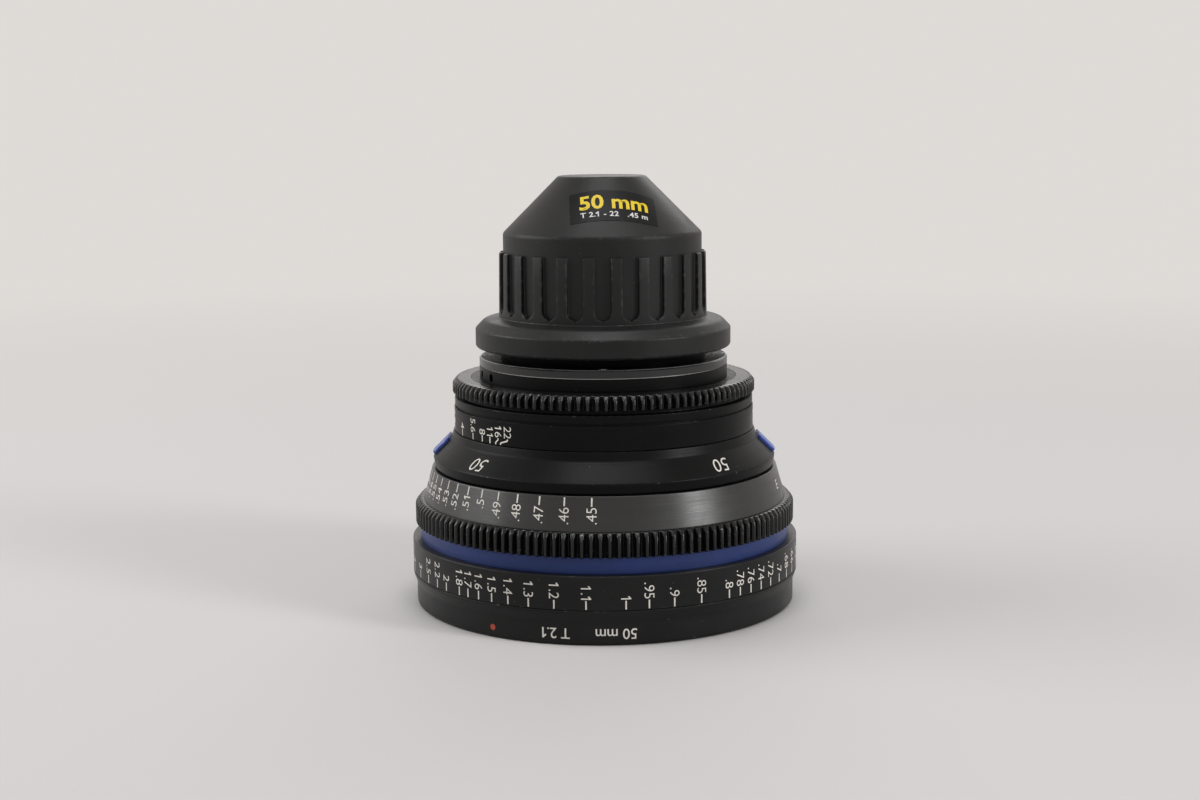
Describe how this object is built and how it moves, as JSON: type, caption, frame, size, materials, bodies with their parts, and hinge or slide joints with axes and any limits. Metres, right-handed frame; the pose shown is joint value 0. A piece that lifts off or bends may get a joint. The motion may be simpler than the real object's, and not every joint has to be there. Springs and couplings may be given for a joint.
{
  "type": "cinema prime lens",
  "caption": "Round stepped camera lens standing on its front, with geared focus and iris rings, scaled bands and a slotted cap over its rear mount.",
  "frame": {"origin": "centre of the front ring's resting face", "axes": "+Z along the optical axis, from the front of the lens to its rear; -Y faces the picture's camera"},
  "size_m": [0.114, 0.114, 0.1248],
  "materials": {
    "black_anodised": "satin black hard anodised aluminium, worn bright on the edges",
    "gear_anodised": "black anodised teeth, rubbed grey on the tips",
    "inner_black": "matt black anodised",
    "blue_anodised": "blue anodised, satin",
    "screw_steel": "machined steel",
    "mount_steel": "hard stainless steel, turned",
    "cam_bronze": "turned bronze",
    "coated_glass": "polished, coated",
    "cap_plastic": "moulded black plastic, fine grain",
    "blue_plate": "blue laminated plate",
    "blade_steel": "blackened spring steel"
  },
  "bodies": {
    "root": {"front_ring": "black_anodised", "front_screws": "screw_steel", "front_baffle": "inner_black", "main_barrel": "inner_black", "index_barrel": "black_anodised", "index_plates": "blue_plate", "rear_barrel": "black_anodised", "rear_barrel_screws": "screw_steel", "mount_shim": "mount_steel", "breech_mount": "mount_steel", "mount_screws": "screw_steel"},
    "focus": {"distance_scale_ring": "black_anodised", "colour_ring": "blue_anodised", "focus_gear_ring": "gear_anodised", "focus_ring": "black_anodised", "cam_sleeve": "cam_bronze", "cam_screws": "screw_steel"},
    "core": {"core_carrier": "inner_black", "cam_rollers": "screw_steel", "front_cell": "inner_black", "front_retainer": "inner_black", "front_spacer": "inner_black", "lens_1": "coated_glass", "lens_2": "coated_glass", "lens_3": "coated_glass", "iris_housing": "inner_black", "housing_screws": "screw_steel", "iris_cover": "inner_black", "rear_cell": "inner_black", "rear_spacer": "inner_black", "rear_retainer": "inner_black", "lens_4": "coated_glass", "lens_5": "coated_glass", "lens_6": "coated_glass", "lens_7": "coated_glass"},
    "iris_drive": {"iris_drive_ring": "cam_bronze"},
    "iris_ring": {"iris_ring": "black_anodised", "iris_gear_ring": "gear_anodised", "iris_drive_pin": "screw_steel"},
    "cap": {"rear_cap": "cap_plastic"},
    "iris_blade_01": {"iris_blade_01": "blade_steel"},
    "iris_blade_02": {"iris_blade_02": "blade_steel"},
    "iris_blade_03": {"iris_blade_03": "blade_steel"},
    "iris_blade_04": {"iris_blade_04": "blade_steel"},
    "iris_blade_05": {"iris_blade_05": "blade_steel"},
    "iris_blade_06": {"iris_blade_06": "blade_steel"},
    "iris_blade_07": {"iris_blade_07": "blade_steel"},
    "iris_blade_08": {"iris_blade_08": "blade_steel"},
    "iris_blade_09": {"iris_blade_09": "blade_steel"},
    "iris_blade_10": {"iris_blade_10": "blade_steel"},
    "iris_blade_11": {"iris_blade_11": "blade_steel"},
    "iris_blade_12": {"iris_blade_12": "blade_steel"},
    "iris_blade_13": {"iris_blade_13": "blade_steel"},
    "iris_blade_14": {"iris_blade_14": "blade_steel"}
  },
  "joints": [
    {"name": "focus_turn", "type": "hinge", "parent": "root", "child": "focus", "pos_m": [0, 0, 0.025], "axis": [0, 0, 1], "range_deg": [-94, 206]},
    {"name": "core_slide", "type": "slide", "parent": "root", "child": "core", "axis": [0, 0, 1], "range_m": [-0.0023, 0.00502]},
    {"name": "iris_turn", "type": "hinge", "parent": "root", "child": "iris_ring", "pos_m": [0, 0, 0.058], "axis": [0, 0, 1], "range_deg": [-57, 13]},
    {"name": "iris_drive_turn", "type": "hinge", "parent": "core", "child": "iris_drive", "pos_m": [0, 0, 0.0613], "axis": [0, 0, 1], "range_deg": [-57.2, 13.2]},
    {"name": "cap_lift", "type": "slide", "parent": "root", "child": "cap", "axis": [0, 0, 1], "range_m": [0, 0.06]},
    {"name": "blade_turn_01", "type": "hinge", "parent": "core", "child": "iris_blade_01", "pos_m": [0.026, 0, 0.0595], "axis": [0, 0, 1], "range_deg": [-4, 17.3]},
    {"name": "blade_turn_02", "type": "hinge", "parent": "core", "child": "iris_blade_02", "pos_m": [0.02343, 0.01128, 0.0595], "axis": [0, 0, 1], "range_deg": [-4, 17.3]},
    {"name": "blade_turn_03", "type": "hinge", "parent": "core", "child": "iris_blade_03", "pos_m": [0.01621, 0.02033, 0.0595], "axis": [0, 0, 1], "range_deg": [-4, 17.3]},
    {"name": "blade_turn_04", "type": "hinge", "parent": "core", "child": "iris_blade_04", "pos_m": [0.00579, 0.02535, 0.0595], "axis": [0, 0, 1], "range_deg": [-4, 17.3]},
    {"name": "blade_turn_05", "type": "hinge", "parent": "core", "child": "iris_blade_05", "pos_m": [-0.00579, 0.02535, 0.0595], "axis": [0, 0, 1], "range_deg": [-4, 17.3]},
    {"name": "blade_turn_06", "type": "hinge", "parent": "core", "child": "iris_blade_06", "pos_m": [-0.01621, 0.02033, 0.0595], "axis": [0, 0, 1], "range_deg": [-4, 17.3]},
    {"name": "blade_turn_07", "type": "hinge", "parent": "core", "child": "iris_blade_07", "pos_m": [-0.02343, 0.01128, 0.0595], "axis": [0, 0, 1], "range_deg": [-4, 17.3]},
    {"name": "blade_turn_08", "type": "hinge", "parent": "core", "child": "iris_blade_08", "pos_m": [-0.026, 0, 0.0595], "axis": [0, 0, 1], "range_deg": [-4, 17.3]},
    {"name": "blade_turn_09", "type": "hinge", "parent": "core", "child": "iris_blade_09", "pos_m": [-0.02343, -0.01128, 0.0595], "axis": [0, 0, 1], "range_deg": [-4, 17.3]},
    {"name": "blade_turn_10", "type": "hinge", "parent": "core", "child": "iris_blade_10", "pos_m": [-0.01621, -0.02033, 0.0595], "axis": [0, 0, 1], "range_deg": [-4, 17.3]},
    {"name": "blade_turn_11", "type": "hinge", "parent": "core", "child": "iris_blade_11", "pos_m": [-0.00579, -0.02535, 0.0595], "axis": [0, 0, 1], "range_deg": [-4, 17.3]},
    {"name": "blade_turn_12", "type": "hinge", "parent": "core", "child": "iris_blade_12", "pos_m": [0.00579, -0.02535, 0.0595], "axis": [0, 0, 1], "range_deg": [-4, 17.3]},
    {"name": "blade_turn_13", "type": "hinge", "parent": "core", "child": "iris_blade_13", "pos_m": [0.01621, -0.02033, 0.0595], "axis": [0, 0, 1], "range_deg": [-4, 17.3]},
    {"name": "blade_turn_14", "type": "hinge", "parent": "core", "child": "iris_blade_14", "pos_m": [0.02343, -0.01128, 0.0595], "axis": [0, 0, 1], "range_deg": [-4, 17.3]}
  ],
  "couplings": [
    {"joint": "core_slide", "follows": "focus_turn", "m_per_rad": 0.0013942},
    {"joint": "iris_drive_turn", "follows": "iris_turn", "ratio": 1},
    {"joint": "blade_turn_01", "follows": "iris_turn", "ratio": -0.301},
    {"joint": "blade_turn_02", "follows": "iris_turn", "ratio": -0.301},
    {"joint": "blade_turn_03", "follows": "iris_turn", "ratio": -0.301},
    {"joint": "blade_turn_04", "follows": "iris_turn", "ratio": -0.301},
    {"joint": "blade_turn_05", "follows": "iris_turn", "ratio": -0.301},
    {"joint": "blade_turn_06", "follows": "iris_turn", "ratio": -0.301},
    {"joint": "blade_turn_07", "follows": "iris_turn", "ratio": -0.301},
    {"joint": "blade_turn_08", "follows": "iris_turn", "ratio": -0.301},
    {"joint": "blade_turn_09", "follows": "iris_turn", "ratio": -0.301},
    {"joint": "blade_turn_10", "follows": "iris_turn", "ratio": -0.301},
    {"joint": "blade_turn_11", "follows": "iris_turn", "ratio": -0.301},
    {"joint": "blade_turn_12", "follows": "iris_turn", "ratio": -0.301},
    {"joint": "blade_turn_13", "follows": "iris_turn", "ratio": -0.301},
    {"joint": "blade_turn_14", "follows": "iris_turn", "ratio": -0.301}
  ]
}
